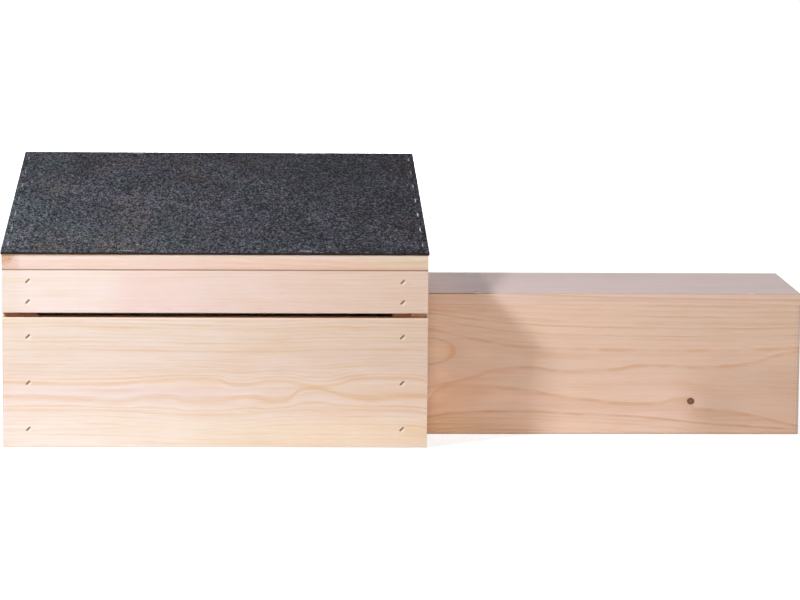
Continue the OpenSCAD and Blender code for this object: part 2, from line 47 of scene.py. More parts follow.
# Node graphs
class Graph:
    """Builds one material. Most methods add nodes and return an output for the next."""

    def __init__(self, name):
        self.material = bpy.data.materials.new(name)
        self.material.use_nodes = True
        self.tree = self.material.node_tree
        self.tree.nodes.clear()
        self.surface = self.tree.nodes.new("ShaderNodeBsdfPrincipled")
        self.output = self.tree.nodes.new("ShaderNodeOutputMaterial")
        self.tree.links.new(self.surface.outputs[0], self.output.inputs["Surface"])

    def put(self, socket, value):
        """Links an output to a socket, or sets the socket to a number or a colour."""
        if isinstance(value, bpy.types.NodeSocket):
            self.tree.links.new(value, socket)
        else:
            socket.default_value = value

    def add(self, kind, inputs, output=0, **settings):
        """A node with these inputs and settings; one of its outputs is returned."""
        node = self.tree.nodes.new(kind)
        for key, value in settings.items():
            setattr(node, key, value)
        for key, value in inputs.items():
            self.put(node.inputs[key], value)
        return node.outputs[output]

    def math(self, operation, a, b=0.0, clamp=False):
        inputs = {0: a, 1: b}
        return self.add("ShaderNodeMath", inputs, operation=operation, use_clamp=clamp)

    def plus(self, a, b):
        return self.math("ADD", a, b)

    def minus(self, a, b):
        return self.math("SUBTRACT", a, b)

    def times(self, a, b):
        return self.math("MULTIPLY", a, b)

    def range(self, value, low, high, to_low=0.0, to_high=1.0, smooth=True):
        """Value from low to high becomes to_low to to_high, and stays there beyond."""
        kind = "SMOOTHSTEP" if smooth else "LINEAR"
        inputs = {0: value, 1: low, 2: high, 3: to_low, 4: to_high}
        return self.add("ShaderNodeMapRange", inputs, interpolation_type=kind)

    def mix(self, factor, a, b, blend="MIX"):
        inputs = {0: factor, 6: a, 7: b}
        settings = {"data_type": "RGBA", "blend_type": blend}
        return self.add("ShaderNodeMix", inputs, 2, **settings)

    def vector(self, x, y, z):
        return self.add("ShaderNodeCombineXYZ", {0: x, 1: y, 2: z})

    def noise(self, vector, detail=2.0, roughness=0.5):
        inputs = {"Vector": vector, "Scale": 1.0, "Detail": detail, "Roughness": roughness}
        return self.add("ShaderNodeTexNoise", inputs)

    def noise_1d(self, value):
        inputs = {"W": value, "Scale": 1.0, "Detail": 0.0}
        return self.add("ShaderNodeTexNoise", inputs, noise_dimensions="1D")

    def random(self, value):
        return self.add("ShaderNodeTexWhiteNoise", {"W": value}, noise_dimensions="1D")

    def cells(self, vector):
        """Random colour of each cell, the cells being about one unit wide."""
        return self.add("ShaderNodeTexVoronoi", {"Vector": vector, "Scale": 1.0}, "Color")

    def axes(self, vector):
        """The three parts of a vector."""
        node = self.tree.nodes.new("ShaderNodeSeparateXYZ")
        self.put(node.inputs[0], vector)
        return list(node.outputs)

    def place(self):
        """Position on the part, in millimetres."""
        spot = self.add("ShaderNodeTexCoord", {}, "Object")
        return self.axes(self.scaled(spot, MM, MM, MM))

    def scaled(self, vector, *factors):
        inputs = {0: vector, 1: factors}
        return self.add("ShaderNodeVectorMath", inputs, operation="MULTIPLY")

    def length(self, vector):
        return self.add("ShaderNodeVectorMath", {0: vector}, "Value", operation="LENGTH")

    def stretched(self, u, v, w, along, across):
        """Place for noise that follows the grain, scaled along and across it."""
        return self.vector(self.times(u, along), self.times(v, across), self.times(w, across))

    def sway(self, noise, size):
        """Noise shifted to lie about 0, times size."""
        return self.times(self.minus(noise, 0.5), size)

    def offsets(self, u, v, centre, reach):
        """Distances from a centre on two axes, each as a share of its reach."""
        du = self.times(self.minus(u, centre[0]), 1 / reach[0])
        dv = self.times(self.minus(v, centre[1]), 1 / reach[1])
        return du, dv

    def distance(self, u, v, centre, reach):
        """0 in the middle of an oval and 1 on its rim."""
        return self.length(self.vector(*self.offsets(u, v, centre, reach), 0.0))

    def patch(self, u, v, centre, reach):
        """1 in the middle of an oval patch, fading to 0 at its rim."""
        return self.range(self.distance(u, v, centre, reach), 0, 1, 1, 0)

    def tone(self, tint, factor, ratio):
        """Tint times a colour, as far as factor goes."""
        return self.mix(factor, tint, rgb(*ratio), "MULTIPLY")

    def facing(self, axis, low=0.8):
        """1 on faces square to an axis of the part, 0 on the others."""
        normal = self.add("ShaderNodeTexCoord", {}, "Normal")
        return self.range(self.math("ABSOLUTE", self.axes(normal)[axis]), low, low + 0.15)

    def curve(self, value, points):
        """A smooth line through points, given as pairs of value and result."""
        low = min(b for _, b in points) - 1
        high = max(b for _, b in points) + 1
        start, end = points[0][0], points[-1][0]
        node = self.tree.nodes.new("ShaderNodeFloatCurve")
        line = node.mapping.curves[0]
        spots = [((a - start) / (end - start), (b - low) / (high - low)) for a, b in points]
        line.points[0].location, line.points[1].location = spots[0], spots[-1]
        for spot in spots[1:-1]:
            line.points.new(*spot)
        node.mapping.update()
        self.put(node.inputs[1], self.range(value, start, end, smooth=False))
        return self.range(node.outputs[0], 0, 1, low, high, smooth=False)

    def band(self, distance, before, after):
        """1 where distance is 0, fading over the lengths before and after it."""
        rise = self.range(distance, -before, 0)
        fall = self.range(distance, 0, after, 1, 0)
        return self.times(rise, fall)

    def bump(self, height, strength, distance):
        inputs = {"Height": height, "Strength": strength, "Distance": distance}
        return self.add("ShaderNodeBump", inputs)

    def finish(self, **values):
        """The finished material, with these values on its shader."""
        for name, value in values.items():
            self.put(self.surface.inputs[name.replace("_", " ")], value)
        return self.material


def rgb(red, green, blue):
    return (red, green, blue, 1.0)


# Staples with bruised wood and painted shade round them: the middle of each crown, in millimetres
STAPLE_REACH = 10.0


def crown_spots(name, axes):
    """Middles of the staples of a node on two axes, each a cluster of its vertices."""
    clusters = []
    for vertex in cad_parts[name].data.vertices:
        spot = Vector([vertex.co[axis] * MM for axis in axes])
        near = [cluster for cluster in clusters if (cluster[0] - spot).length < STAPLE_REACH]
        if near:
            near[0].append(spot)
        else:
            clusters.append([spot])
    middles = []
    for cluster in clusters:
        low = [min(spot[i] for spot in cluster) for i in (0, 1)]
        high = [max(spot[i] for spot in cluster) for i in (0, 1)]
        middles.append(((low[0] + high[0]) / 2, (low[1] + high[1]) / 2))
    return middles


front_crowns = crown_spots("front_staples", (X, Z))
tunnel_crowns = crown_spots("tunnel_staples", (X, Y))


# Wood
PALE_PINE = rgb(0.780, 0.628, 0.545)
UPPER_PINE = rgb(0.742, 0.555, 0.478)
TUNNEL_PINE = rgb(0.821, 0.558, 0.432)
INNER_PINE = rgb(0.770, 0.590, 0.465)
LATE_WOOD = rgb(0.640, 0.320, 0.050)
TUNNEL_LATE = rgb(0.660, 0.335, 0.175)
KNOT_WOOD = rgb(0.130, 0.036, 0.018)
KNOT_RIM = rgb(0.26, 0.095, 0.050)
LID_KNOT_WOOD = rgb(0.50, 0.20, 0.05)
DARK_ARRIS_WOOD = rgb(0.20, 0.08, 0.03)
BRUISE_AND_DENT_SHADE = rgb(0.16, 0.10, 0.06)
PAINTED_LIP_HIGHLIGHT = rgb(0.95, 0.88, 0.78)
RAISED_TUNNEL_WOOD = rgb(0.92, 0.74, 0.48)
END_SHADE = rgb(0.80, 0.74, 0.66)
BLOOM_TINT = rgb(0.30, 0.60, 1.0)
# How far the fibres go up and down in red, green and blue
FIBRE_CONTRAST = (0.028, 0.036, 0.050)
BLOTCH_RATIO = (1.0, 0.975, 0.955)


def growth_rings(g, field, along, seed):
    """Late wood of each year, from a field that grows by one a year."""
    wander = g.sway(g.noise_1d(g.plus(field, seed)), 1.1)
    years = g.plus(field, wander)
    part = g.math("FRACT", years)
    late = g.times(g.range(part, 0.15, 0.84), g.range(part, 0.88, 1.0, 1, 0))
    year = g.plus(g.math("FLOOR", years), seed)
    strength = g.range(g.random(year), 0, 1, 0.35, 1.0, smooth=False)
    drift = g.noise(g.vector(g.times(along, 0.012), g.times(year, 3.1), seed), 1.0)
    fading = g.range(drift, 0.3, 0.65, 0.45, 1.0)
    return g.times(late, g.times(strength, fading))


def log_field(g, u, v, w, heart, spacing, seed):
    """Ring count in a board whose log had its heart at (v, w), in millimetres."""
    slow = g.vector(g.times(u, 0.0035), g.times(v, 0.008), seed)
    ripple = g.vector(g.times(u, 0.03), g.times(v, 0.03), seed + 7)
    sway = g.plus(g.sway(g.noise(slow, 1.5), 34), g.sway(g.noise(ripple, 1.0), 3))
    across = g.math("POWER", g.minus(v, heart[0]), 2)
    through = g.math("POWER", g.minus(w, heart[1]), 2)
    radius = g.math("SQRT", g.plus(across, through))
    return g.math("DIVIDE", g.plus(radius, sway), spacing)


def drawn_field(g, u, v, routes, years, seed):
    """Ring count that has each route, from low to high, on a whole year.

    years holds the number of rings from each route to the next, and pace is the
    width of a ring below the first route and above the last, in millimetres.
    """
    ripple = g.vector(g.times(u, 0.025), g.times(v, 0.05), seed)
    v = g.plus(v, g.sway(g.noise(ripple, 2.0), 2.4))
    heights = [g.curve(u, points) for points in routes]
    pace = 4.0
    field = g.times(g.math("MINIMUM", g.minus(v, heights[0]), 0.0), 1 / pace)
    for low, high, count in zip(heights, heights[1:], years):
        field = g.plus(field, g.range(v, low, high, 0, count, smooth=False))
    above = g.math("MAXIMUM", g.minus(v, heights[-1]), 0.0)
    return g.plus(field, g.times(above, 1 / pace))


def waver(g, u, v, seed):
    """Height v, swaying along the board by a millimetre or so."""
    slow = g.noise(g.vector(g.times(u, 0.03), seed, 0.0), 2.0)
    quick = g.noise(g.vector(g.times(u, 0.12), seed, 5.0), 1.0)
    return g.plus(g.plus(v, g.sway(slow, 1.5)), g.sway(quick, 1.2))


def fade(g, u, v, seed, faintest=0.45):
    """Strength of the drawn lines, which comes and goes along the board."""
    patch = g.noise(g.vector(g.times(u, 0.035), g.times(v, 0.05), seed), 1.5)
    return g.range(patch, 0.32, 0.66, faintest, 1.2)


def drawn_lines(g, u, v, lines, weight, tint, colour):
    """Soft lines of late wood: route, softness below and above it, and strength."""
    for points, below, above, strength in lines:
        shown = g.band(g.minus(v, g.curve(u, points)), below, above)
        tint = g.mix(g.times(g.times(shown, strength), weight), tint, colour)
    return tint


def drifts(g, value, changes, tint):
    """Slow changes of colour on one axis: start, end and ratio of colour."""
    for start, end, ratio in changes:
        tint = g.tone(tint, g.range(value, start, end), ratio)
    return tint


def patches(g, u, v, spots, tint):
    """Oval patches of another shade: middle, reach and ratio of colour."""
    for centre, reach, ratio in spots:
        tint = g.tone(tint, g.patch(u, v, centre, reach), ratio)
    return tint


def pine(
    name, axes, seed, colour, field, ring_depth=0.28, paint=None, late_wood=LATE_WOOD,
    streaks=1.0, bloom=0.0
):
    """Planed pine. axes are the part's axes along, across and through the board.

    field counts the years of growth, paint adds what only this board has, and bloom
    is a bluish sheen that shows at flat angles.
    """
    g = Graph(name)
    place = g.place()
    u, v, w = (place[axis] for axis in axes)
    rings = growth_rings(g, field(g, u, v, w), u, seed)

    streak = g.noise(g.stretched(u, v, w, 0.012, 0.35), 3.0)
    fibre = g.noise(g.stretched(u, v, w, 0.05, 1.7), 3.0)
    cloud = g.noise(g.vector(g.times(u, 0.006), g.times(v, 0.02), seed), 1.0)
    fleck = g.noise(g.stretched(u, v, w, 0.12, 2.6), 1.0)

    late = g.times(rings, ring_depth)
    late = g.plus(late, g.range(streak, 0.35, 0.70, -0.04 * streaks, 0.07 * streaks))
    late = g.plus(late, g.range(cloud, 0.3, 0.7, -0.02, 0.04))
    late = g.plus(late, g.range(fleck, 0.66, 0.8, 0, 0.10))
    late = g.math("MAXIMUM", late, 0.0)
    tint = g.mix(late, colour, late_wood)
    shades = [g.range(fibre, 0.3, 0.7, 1 - part, 1 + part) for part in FIBRE_CONTRAST]
    tint = g.mix(1.0, tint, g.vector(*shades), "MULTIPLY")
    depth = g.plus(g.times(w, 0.06), seed)
    blotch = g.noise(g.vector(g.times(u, 0.03), g.times(v, 0.06), depth), 2.0)
    tint = g.tone(tint, g.range(blotch, 0.35, 0.65), BLOTCH_RATIO)
    end = g.facing(axes[0])
    tint = g.mix(g.times(end, 0.75), tint, g.mix(1.0, tint, END_SHADE, "MULTIPLY"))
    if paint:
        tint = paint(g, u, v, w, tint)

    height = g.minus(g.times(fibre, 0.7), g.times(rings, 0.5))
    rough = g.range(streak, 0.3, 0.7, 0.50, 0.62)
    rough = g.plus(rough, g.times(end, 0.2))
    return g.finish(
        Base_Color=tint,
        Roughness=rough,
        Sheen_Weight=bloom,
        Sheen_Roughness=0.4,
        Sheen_Tint=BLOOM_TINT,
        Normal=g.bump(height, 0.35, 0.0002),
    )


def staple_dents(g, u, v, tint, middles):
    """Bruised wood round each sunk staple, with painted shade in the dent and a painted highlight
    on its lower lip.
    """
    for across, up in middles:
        du, dv = g.minus(u, across), g.minus(v, up)
        along = g.math("ABSOLUTE", g.times(g.plus(du, dv), math.sqrt(0.5)))
        side = g.times(g.minus(dv, du), math.sqrt(0.5))
        reach = g.range(along, 1.8, 3.6, 1, 0)
        dent = g.times(reach, g.band(side, 1.7, 1.9))
        lip = g.times(reach, g.band(g.plus(side, 2.5), 0.9, 0.9))
        tint = g.mix(g.times(dent, 0.75), tint, BRUISE_AND_DENT_SHADE)
        tint = g.mix(g.times(lip, 0.5), tint, PAINTED_LIP_HIGHLIGHT)
    return tint


def log(heart, spacing):
    """Field of a board cut from a log with its heart there, for the part's frame."""
    return lambda g, u, v, w: log_field(g, u, v, w, heart, spacing, heart[0] * 0.13)


# Front lower board: routes of its stronger lines, in millimetres of X and Z
LINE_D = [(-219, 40), (-141, 40.3), (-80, 38.2), (-6, 35), (111, 40.5), (223, 36.4)]
LINE_B = [
    (-219, 53.6), (-141, 51), (-101, 48.9), (-69, 53.2), (-48, 53.2), (-32, 49),
    (-4, 49), (37, 53.4), (60, 49.1), (84, 56.6), (102, 63.5), (116, 61.5),
    (143, 54), (169, 51.4), (196, 54.6), (223, 54.7),
]
LINE_A = [
    (-219, 69.6), (-141, 68.1), (-64, 71.5), (-22, 73.7), (5, 72.6), (26, 67.3),
    (63, 71.6), (92, 68.4), (111, 66.2), (127, 67.9), (148, 72.8), (185, 75), (223, 70.8),
]
LINE_C = [
    (-219, 104.3), (-122, 104.5), (-27, 102.6), (37, 102.1), (90, 103.8), (153, 105), (223, 104.1),
]
LOWER_LINES = [
    (LINE_A, 4.0, 2.6, 0.31),
    (LINE_B, 3.4, 5.0, 0.24),
    (LINE_C, 2.2, 1.0, 0.10),
    (LINE_D, 3.0, 1.4, 0.20),
]
# Its changes of colour from place to place
LOWER_PINK = ((-80, 58), (230, 16), (0.99, 1.0, 1.10))
LOWER_ORANGE = ((190, 58), (75, 11))
LOWER_UP = [
    (15, 62, (0.95, 0.90, 0.87)),
    (62, 88, (0.95, 0.95, 0.96)),
    (70, 130, (0.97, 0.98, 0.96)),
]
# Painted shading: warmer and darker towards the right, away from the key light
LOWER_SHADING_ALONG = [(-120, 150, (0.97, 0.93, 0.90))]
LOWER_PATCHES = [
    ((215, 18), (34, 16), (1.0, 0.93, 0.84)),
    ((155, 18), (150, 44), (1.06, 1.05, 1.03)),
    ((-100, 22), (90, 20), (0.98, 0.95, 0.90)),
    ((55, 112), (70, 22), (0.98, 0.95, 0.89)),
    ((-100, 105), (80, 9), (1.0, 0.95, 0.93)),
    ((145, 97), (90, 11), (0.97, 0.94, 0.92)),
    ((10, 69), (120, 6), (1.0, 0.96, 0.91)),
    ((150, 76), (40, 7), (0.96, 0.94, 0.91)),
    ((34, 55), (24, 9), (1.05, 1.07, 1.10)),
]


def lower_front_field(g, u, v, w):
    routes = [LINE_D, LINE_B, LINE_A, LINE_C]
    field = drawn_field(g, u, v, routes, [3, 2, 9], 4.0)
    return g.plus(field, g.times(w, 0.08))


def lower_front_paint(g, u, v, w, tint):
    """Two wavy lines in pinkish wood, an orange patch at the right and paler wood low down."""
    v = waver(g, u, v, 1.0)
    tint = drawn_lines(g, u, v, LOWER_LINES, fade(g, u, v, 3.0, 0.80), tint, LATE_WOOD)
    tint = patches(g, u, v, [LOWER_PINK], tint)
    tint = g.mix(g.times(g.patch(u, v, *LOWER_ORANGE), 0.22), tint, LATE_WOOD)
    tint = drifts(g, v, LOWER_UP, tint)
    # Painted shading along the board
    tint = drifts(g, u, LOWER_SHADING_ALONG, tint)
    # Yellower low down towards the right
    yellower = g.times(g.range(v, 20, 36, 1, 0), g.range(u, -130, 60))
    tint = g.tone(tint, yellower, (1.0, 0.99, 0.91))
    tint = patches(g, u, v, LOWER_PATCHES, tint)
    # Painted highlight along the upper arris, and painted shade, brown, on its top in the slot
    lit = g.range(v, SLOT_BOTTOM - 1.8, SLOT_BOTTOM - 1.2)
    tint = g.tone(tint, lit, (1.10, 1.09, 1.07))
    tint = g.tone(tint, g.facing(Z), (0.80, 0.66, 0.54))
    return staple_dents(g, u, v, tint, front_crowns)


# Front upper board
UPPER_RING = 3.4
UPPER_CLOUD = ((-166, 166), (24, 8))
UPPER_ALONG = [
    (60, -60, (0.96, 0.99, 1.02)),
    (-60, 20, (0.94, 0.98, 0.98)),
    (-125, -85, (0.98, 0.91, 0.91)),
    (30, 190, (0.97, 0.96, 0.92)),
    (-195, -215, (0.95, 0.95, 0.92)),
]


def upper_front_field(g, u, v, w):
    """Narrow, nearly straight rings that climb a little to the right."""
    slow = g.noise(g.vector(g.times(u, 0.004), g.times(v, 0.01), 2.0), 1.0)
    tilt = g.plus(v, g.plus(g.times(u, -0.012), g.sway(slow, 5)))
    return g.times(tilt, 1 / UPPER_RING)


def upper_front_paint(g, u, v, w, tint):
    """Plain and pale at the left, pinker to the right."""
    tint = g.mix(g.range(u, -60, 60, 0.30, 0), tint, UPPER_PINE)
    tint = g.mix(g.times(g.patch(u, v, *UPPER_CLOUD), 0.10), tint, LATE_WOOD)
    tint = drifts(g, u, UPPER_ALONG, tint)
    # Shadow of the lid's edge on the board's upper arris
    under_lid = g.range(v, FRONT_HEIGHT - 1.1, FRONT_HEIGHT - 0.6)
    tint = g.tone(tint, under_lid, (0.54, 0.45, 0.39))
    return staple_dents(g, u, v, tint, front_crowns)


# Tunnel front: routes of its lines, in millimetres of X and Z
TUNNEL_3 = [
    (225, 19), (232, 20), (267, 24.4), (327, 26.0), (386, 23.4), (464, 19.6),
    (528, 13.1), (583, 9.3), (616, 7.1), (636, 6),
]
TUNNEL_2 = [
    (225, 31), (232, 39.8), (243, 50.8), (262, 54.2), (322, 51), (385, 41.1), (473, 34.6),
    (511, 40.2), (522, 29.1), (561, 25.8), (596, 19.2), (612, 14.8), (636, 10),
]
TUNNEL_1 = [
    (225, 50), (232, 51.9), (283, 64.1), (303, 71.3), (336, 74.1), (379, 69.8), (429, 71.5),
    (467, 76.5), (532, 74.4), (585, 79.6), (602, 85.2), (622, 90.2), (636, 92),
]
TUNNEL_SLOPE = [
    (225, 117), (232, 115.6), (264, 108.6), (299, 101.5), (341, 96.1), (417, 93.5),
    (565, 93.2), (636, 96),
]
TUNNEL_TOP = [(225, 158), (297, 155.8), (422, 151.2), (500, 149.8), (636, 148.2)]
TUNNEL_EDGE = [
    (225, 155), (340, 149.8), (406, 147.9), (471, 146.8), (536, 145.6), (596, 143.6), (636, 142),
]
TUNNEL_LINES = [
    (TUNNEL_1, 5.0, 2.2, 0.48),
    (TUNNEL_2, 4.6, 2.0, 0.50),
    (TUNNEL_3, 3.2, 1.6, 0.60),
    (TUNNEL_SLOPE, 4.2, 2.6, 0.50),
    (TUNNEL_TOP, 3.0, 1.4, 0.34),
]
# Lines in the front edge of the top board
TUNNEL_EDGE_LINES = [
    (TUNNEL_TOP, 2.6, 1.4, 0.48),
    (TUNNEL_EDGE, 1.4, 1.0, 0.34),
]
# Thin short lines under the lowest drawn one
THIN_LINES = (18.5, 11.5, 6.0)
# Tip of a pointed ring at the nest box end
RING_TIP = (226, 91.5)
RING_TIP_REACH = (33, 15.5)
# Paler, yellower, pinker and browner wood
TUNNEL_PATCHES = [
    ((308, 69), (34, 6), (0.99, 0.84, 0.79)),
    ((274, 63), (34, 7), (1.0, 0.92, 0.88)),
    ((282, 54), (60, 6), (1.03, 0.95, 0.91)),
    ((242, 68), (18, 11), (1.10, 1.08, 1.08)),
    ((236, 41), (24, 13), (1.09, 1.17, 1.18)),
    ((238, 36), (75, 52), (1.13, 1.09, 1.04)),
    ((236, 92), (30, 17), (1.14, 1.19, 1.16)),
    ((256, 91), (8, 10), (1.03, 0.88, 0.78)),
    ((282, 90), (26, 16), (1.05, 1.08, 1.10)),
    ((252, 9), (70, 18), (0.98, 1.0, 0.86)),
    ((320, 40), (70, 12), (1.11, 1.13, 1.20)),
    ((356, 38), (36, 8), (1.07, 1.15, 1.25)),
    ((455, 24), (52, 10), (1.05, 1.06, 1.13)),
    ((471, 6), (40, 8), (1.04, 1.07, 1.10)),
    ((555, 86), (36, 9), (0.95, 0.93, 0.91)),
    ((380, 9), (110, 16), (1.06, 1.07, 1.08)),
    ((490, 24), (56, 30), (1.03, 1.05, 1.11)),
    ((548, 24), (46, 32), (0.92, 0.92, 0.92)),
]
# Painted shadow of the nest box: the wood next to it is duller up to here, except along the joint
# under the top board, where painted light keeps the joint hidden
BOX_SHADOW_EDGE = (280, 310)
PAINTED_BOX_SHADOW = (0.94, 0.90, 0.88)
JOINT_PAINTED_LIGHT = (1.14, 1.15, 1.17)
# Painted shade along the bottom arris, then a slightly duller tone from 40 mm up
TUNNEL_UP = [
    (2.6, 1.4, (0.90, 0.88, 0.86)),
    (40, 80, (0.95, 0.95, 0.94)),
]
TUNNEL_KNOT = (517.5, 36.8)
TUNNEL_KNOT_REACH = (4.212, 3.9)


def tunnel_front_field(g, u, v, w):
    routes = [TUNNEL_3, TUNNEL_2, TUNNEL_1, TUNNEL_SLOPE, TUNNEL_TOP]
    field = drawn_field(g, u, v, routes, [1, 1, 1, 9], 9.0)
    return g.plus(field, g.times(w, 0.05))


def tunnel_front_paint(g, u, v, w, tint):
    """Long sweeping lines, fine ones above them, and one small knot near the free end."""
    v = waver(g, u, v, 5.0)
    tint = drawn_lines(g, u, v, TUNNEL_LINES, fade(g, u, v, 8.0), tint, TUNNEL_LATE)
    du, dv = g.offsets(u, v, RING_TIP, RING_TIP_REACH)
    squared = g.plus(g.math("POWER", du, 2), g.math("POWER", dv, 2))
    ring = g.band(g.minus(squared, 1.0), 0.45, 0.12)
    tint = g.mix(g.times(ring, 0.40), tint, TUNNEL_LATE)
    tint = patches(g, u, v, TUNNEL_PATCHES, tint)
    # Browner low down and duller high up, towards the free end
    browner = g.times(g.range(u, 490, 545), g.range(v, 60, 92, 1, 0))
    tint = g.tone(tint, browner, (0.88, 0.86, 0.84))
    duller = g.times(g.range(u, 420, 500), g.range(v, 92, 110))
    tint = g.tone(tint, duller, (0.96, 0.98, 0.98))
    # Painted shadow of the nest box
    beside = g.range(u, *BOX_SHADOW_EDGE, 1, 0)
    tint = g.tone(tint, g.times(beside, g.range(v, 128, 138)), PAINTED_BOX_SHADOW)
    # Painted light along the joint under the top board, over its shade
    joint = g.range(v, TUNNEL_JOINT - 0.9, TUNNEL_JOINT - 0.3)
    tint = g.tone(tint, g.times(beside, joint), JOINT_PAINTED_LIGHT)
    near = g.range(u, 300, 370, 0.34, 0)
    for height in THIN_LINES:
        shown = g.band(g.minus(v, height), 1.8, 1.0)
        tint = g.mix(g.times(shown, near), tint, TUNNEL_LATE)
    # Painted shade along the bottom arris
    tint = drifts(g, v, TUNNEL_UP, tint)
    # Dull, greyer arris at the free end
    arris = g.range(u, TUNNEL_END - 3.5, TUNNEL_END - 1)
    tint = g.tone(tint, arris, (0.78, 0.80, 0.86))
    crease = g.band(g.minus(u, TUNNEL_END - 5), 0.8, 0.8)
    tint = g.tone(tint, g.times(crease, 0.5), (0.85, 0.82, 0.75))
    # The knot, with its dark rim
    from_knot = g.distance(u, v, TUNNEL_KNOT, TUNNEL_KNOT_REACH)
    halo = g.times(g.range(from_knot, 0.9, 2.0, 1, 0), 0.22)
    tint = g.mix(halo, tint, TUNNEL_LATE)
    core = g.range(from_knot, 0.85, 1.08, 1, 0)
    heart = g.range(from_knot, 0.1, 0.6, 0.75, 0.15)
    return g.mix(core, tint, g.mix(heart, KNOT_WOOD, KNOT_RIM))


# Tunnel top
TOP_RING = 5.5
# Painted shade with a painted bluish reflection on the top faces
TOP_PAINTED_SHADE = (0.815, 0.805, 0.885)


def tunnel_top_field(g, u, v, w):
    """Wide, nearly straight rings."""
    slow = g.noise(g.vector(g.times(u, 0.004), g.times(v, 0.01), 12.0), 1.0)
    tilt = g.plus(v, g.sway(slow, 22))
    return g.times(g.plus(tilt, g.times(w, 0.6)), 1 / TOP_RING)


def tunnel_top_paint(g, u, v, w, tint):
    """w is the height here: the front edge shows the lines of the tunnel's front."""
    edge = g.facing(Y)
    # Painted shade and painted bluish reflection on the top
    tint = g.tone(tint, g.minus(1.0, edge), TOP_PAINTED_SHADE)
    tint = g.tone(tint, edge, (0.93, 0.96, 1.0))
    # Painted shadow of the nest box on the front edge
    beside = g.times(edge, g.range(u, *BOX_SHADOW_EDGE, 1, 0))
    tint = g.tone(tint, beside, PAINTED_BOX_SHADOW)
    # Painted light along the joint, over its shade
    joint = g.range(w, TUNNEL_JOINT + 0.9, TUNNEL_JOINT + 0.3)
    tint = g.tone(tint, g.times(beside, joint), JOINT_PAINTED_LIGHT)
    tint = drawn_lines(g, u, w, TUNNEL_EDGE_LINES, edge, tint, TUNNEL_LATE)
    # Painted shadow of the nest box on the top, and a dark line along the front arris, at the nest
    # box end
    flat = g.minus(1.0, edge)
    darker = g.times(g.range(u, 225, 292, 0.25, 1.0), g.range(u, 293, 307, 1, 0))
    tint = g.tone(tint, g.times(darker, flat), (0.66, 0.60, 0.60))
    darker = g.times(g.range(v, 20, -110, 0.3, 1.0), g.range(u, 290, 312, 1, 0))
    tint = g.tone(tint, g.times(darker, flat), (0.88, 0.80, 0.72))
    # A dark line along the front arris and just behind it
    dark_arris = g.times(edge, g.range(w, TUNNEL_HEIGHT - 1.6, TUNNEL_HEIGHT - 0.8))
    behind = g.range(v, TUNNEL_FRONT + 1.5, TUNNEL_FRONT + 5, 1, 0)
    dark_arris = g.plus(dark_arris, g.times(flat, behind))
    dark_arris = g.times(dark_arris, g.range(u, 284, 289, 1, 0))
    tint = g.mix(g.times(dark_arris, 0.5), tint, DARK_ARRIS_WOOD)
    # Bruised wood with painted shade behind each staple, and a pale lip before it
    for across, along in tunnel_crowns:
        dent = g.times(g.patch(u, v, (across, along + 5), (3.4, 9)), flat)
        dent = g.times(dent, g.range(u, 320, 540, 0.8, 0.3))
        tint = g.mix(dent, tint, BRUISE_AND_DENT_SHADE)
        lip = g.times(g.patch(u, v, (across + 2, along - 6), (8, 7)), flat)
        tint = g.mix(g.times(lip, 0.45), tint, RAISED_TUNNEL_WOOD)
    return tint


# Half a knot at the left end of the lid's front edge, in millimetres of X and Z
LID_KNOT = (-222, 204)
LID_KNOT_REACH = (13, 11)


def lid_front_paint(g, u, v, w, tint):
    """The knot in the lid's front edge, which is pale along its top; w is the height."""
    grainy = g.noise(g.vector(g.times(u, 0.35), 0.0, g.times(w, 0.35)), 2.0)
    from_knot = g.distance(u, w, LID_KNOT, LID_KNOT_REACH)
    from_knot = g.plus(from_knot, g.sway(grainy, 0.8))
    edge = g.facing(Y)
    rings = g.range(g.math("FRACT", g.times(from_knot, 4.0)), 0.1, 0.9, 0.35, 1.0)
    shown = g.times(g.times(g.range(from_knot, 0.35, 1.1, 0.8, 0), rings), edge)
    tint = g.mix(shown, tint, LID_KNOT_WOOD)
    # Pinker in its lower half, duller at the left end and greener at the right
    tint = g.tone(tint, g.times(edge, g.range(w, 199, 202, 1, 0)), (1.0, 0.93, 0.90))
    tint = g.tone(tint, g.times(edge, g.range(u, -211, -203, 1, 0)), (0.90, 0.86, 0.83))
    tint = g.tone(tint, g.times(edge, g.range(u, 120, 200)), (0.96, 1.02, 0.94))
    # Paler along the top, under the felt: painted light over the shade of its overhang. Browner
    # along the bottom arris
    pale = g.times(g.range(w, 203.8, 205.4), g.range(u, -170, -60))
    tint = g.tone(tint, g.times(edge, pale), (1.24, 1.27, 1.29))
    brown = g.times(g.range(w, 192, 195, 1, 0), g.range(u, -90, 30))
    return g.tone(tint, g.times(edge, brown), (0.96, 0.90, 0.87))


def slot_shading(height, ratio):
    """Paint for a brown strip of painted shade behind the slot. height is 0, 1 or 2 for u, v or w.
    """

    def paint(g, u, v, w, tint):
        z = (u, v, w)[height]
        strip = g.times(
            g.range(z, SLOT_BOTTOM - 0.5, SLOT_BOTTOM + 0.5),
            g.range(z, SLOT_TOP, SLOT_TOP + 1.0, 1, 0)
        )
        return g.tone(tint, g.times(strip, g.facing(Y, 0.5)), ratio)

    return paint


# Painted shade on the posts, and on the ends of the side boards, behind the slot
LEFT_SLOT_SHADING = (0.50, 0.26, 0.12)
LEFT_END_SLOT_SHADING = (0.88, 0.50, 0.30)
RIGHT_SLOT_SHADING = (0.62, 0.325, 0.160)
RIGHT_END_SLOT_SHADING = (1.25, 1.02, 0.86)


# Axes along, across and through a board
ALONG_X = (X, Z, Y)
FLAT_X = (X, Y, Z)
ALONG_Y = (Y, Z, X)
FLAT_Y = (Y, X, Z)
ALONG_Z = (Z, X, Y)

